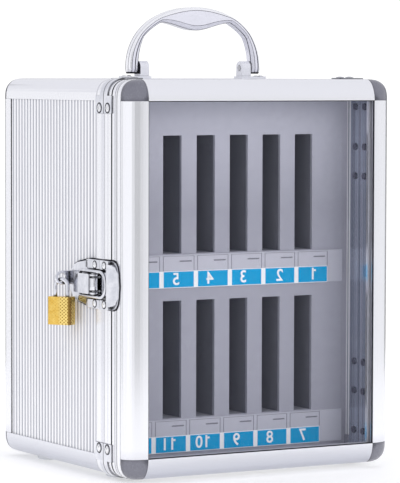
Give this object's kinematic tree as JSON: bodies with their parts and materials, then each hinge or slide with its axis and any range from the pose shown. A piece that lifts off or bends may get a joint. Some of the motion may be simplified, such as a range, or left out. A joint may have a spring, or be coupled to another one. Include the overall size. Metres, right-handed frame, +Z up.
{
  "type": "cell phone locker box",
  "caption": "Upright aluminium-framed case with a hinged window door, numbered phone slots, a folding top handle, a draw latch and a small brass padlock.",
  "frame": {"origin": "centre of the case's footprint on the surface that its feet stand on", "axes": "+Z up, the window door faces -Y, the door's hinges are on the +X side and the latch on the -X side"},
  "size_m": [0.2446, 0.2, 0.336],
  "materials": {
    "panel": "satin, fine vertical ribs",
    "frame": "satin anodised",
    "corner_cap": "satin",
    "plated_steel": "bright plated",
    "steel_pin": "brushed",
    "foot": "translucent white",
    "handle": "silver, softly glossy",
    "bracket": "silver, softly glossy",
    "insert_board": "matt grey",
    "insert_foam": "soft matt grey foam",
    "label_card": "matt white",
    "number_tag": "blue print",
    "window": "clear",
    "seal": "matt dark grey",
    "lock_brass": "brushed",
    "lock_plug": "brushed"
  },
  "bodies": {
    "case": {"left_panel": "panel", "right_panel": "panel", "top_panel": "panel", "bottom_panel": "panel", "rear_panel": "panel", "rear_left_post": "frame", "rear_right_post": "frame", "rear_top_rail": "frame", "rear_bottom_rail": "frame", "top_left_rail": "frame", "top_right_rail": "frame", "bottom_left_rail": "frame", "bottom_right_rail": "frame", "rear_corner_caps": "corner_cap", "body_rim_left": "frame", "body_rim_right": "frame", "body_rim_top": "frame", "body_rim_bottom": "frame", "body_corner_clips": "plated_steel", "body_rivets": "plated_steel", "feet": "foot", "foot_screws": "steel_pin", "handle_bracket_left": "bracket", "handle_bracket_right": "bracket", "handle_pins": "steel_pin", "insert_face": "insert_board", "lower_shelf": "insert_board", "upper_shelf": "insert_board", "lower_spacers": "insert_foam", "upper_spacers": "insert_foam", "lower_label_strip": "label_card", "upper_label_strip": "label_card", "number_labels": "number_tag", "latch_plate": "plated_steel", "latch_pin": "steel_pin", "body_hinge_leaves": "plated_steel", "hinge_pins": "steel_pin"},
    "door": {"door_left_post": "frame", "door_right_post": "frame", "door_top_rail": "frame", "door_bottom_rail": "frame", "door_corner_caps": "corner_cap", "door_rim_left": "frame", "door_rim_right": "frame", "door_rim_top": "frame", "door_rim_bottom": "frame", "door_seal": "seal", "door_corner_clips": "plated_steel", "door_rivets": "plated_steel", "window_pane": "window", "window_seal": "seal", "catch_plate": "plated_steel", "door_hinge_leaves": "plated_steel"},
    "handle": {"handle": "handle"},
    "latch_lever": {"latch_lever": "plated_steel"},
    "latch_bail": {"latch_bail": "plated_steel"},
    "padlock_shackle": {"padlock_shackle": "plated_steel"},
    "padlock_body": {"padlock_body": "lock_brass"},
    "padlock_key_plug": {"padlock_key_plug": "lock_plug"}
  },
  "joints": [
    {"name": "door_swing", "type": "hinge", "parent": "case", "child": "door", "pos_m": [0.1128, -0.0655, 0.1435], "axis": [0, 0, 1], "range_deg": [0, 170]},
    {"name": "handle_fold", "type": "hinge", "parent": "case", "child": "handle", "pos_m": [0, 0.001, 0.2914], "axis": [1, 0, 0], "range_deg": [-90, 90]},
    {"name": "lever_lift", "type": "hinge", "parent": "case", "child": "latch_lever", "pos_m": [-0.1148, -0.0585, 0.1395], "axis": [0, 0, 1], "range_deg": [0, 120]},
    {"name": "bail_swing", "type": "hinge", "parent": "latch_lever", "child": "latch_bail", "pos_m": [-0.1148, -0.0385, 0.1395], "axis": [0, 0, 1], "range_deg": [-120, 0]},
    {"name": "padlock_swing", "type": "hinge", "parent": "case", "child": "padlock_shackle", "pos_m": [-0.121, -0.0215, 0.142], "axis": [0, 1, 0], "range_deg": [0, 60]},
    {"name": "shackle_release", "type": "slide", "parent": "padlock_shackle", "child": "padlock_body", "axis": [0, 0, -1], "range_m": [0, 0.006]},
    {"name": "key_turn", "type": "hinge", "parent": "padlock_body", "child": "padlock_key_plug", "pos_m": [-0.121, -0.0215, 0.1085], "axis": [0, 0, -1], "range_deg": [0, 90]}
  ],
  "couplings": [
    {"joint": "bail_swing", "follows": "lever_lift", "ratio": -1}
  ]
}
